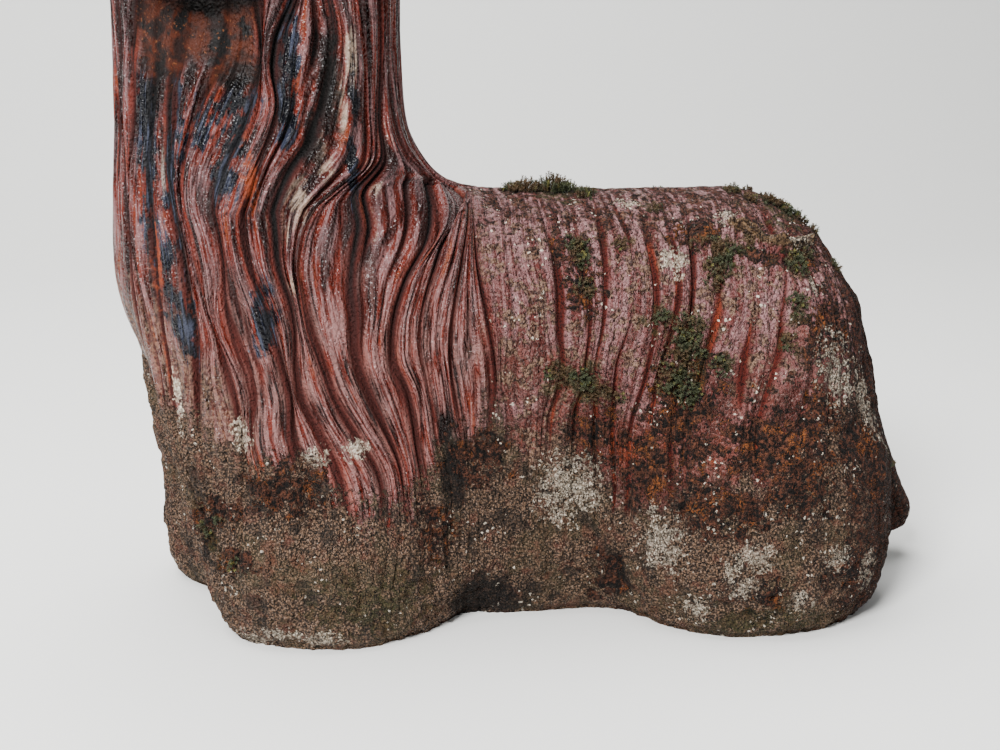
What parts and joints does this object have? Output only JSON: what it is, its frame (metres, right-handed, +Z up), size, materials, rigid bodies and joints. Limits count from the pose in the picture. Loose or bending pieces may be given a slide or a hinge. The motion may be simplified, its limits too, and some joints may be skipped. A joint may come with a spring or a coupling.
{
  "type": "dog garden statue",
  "caption": "Weathered cast garden statue of a standing long-coated dog, its coat carved in wavy locks down to the ground.",
  "frame": {"origin": "on the ground plane, on the flat underside of the casting, below the middle of the trunk", "axes": "+Z up, the dog's chest towards -X and its tail towards +X, its head turned towards -Y"},
  "size_m": [0.5778, 0.2812, 0.6099],
  "materials": {
    "painted_concrete": "worn maroon gloss paint over bare grey-brown concrete"
  },
  "bodies": {
    "root": {"dog_statue": "painted_concrete"}
  },
  "joints": []
}
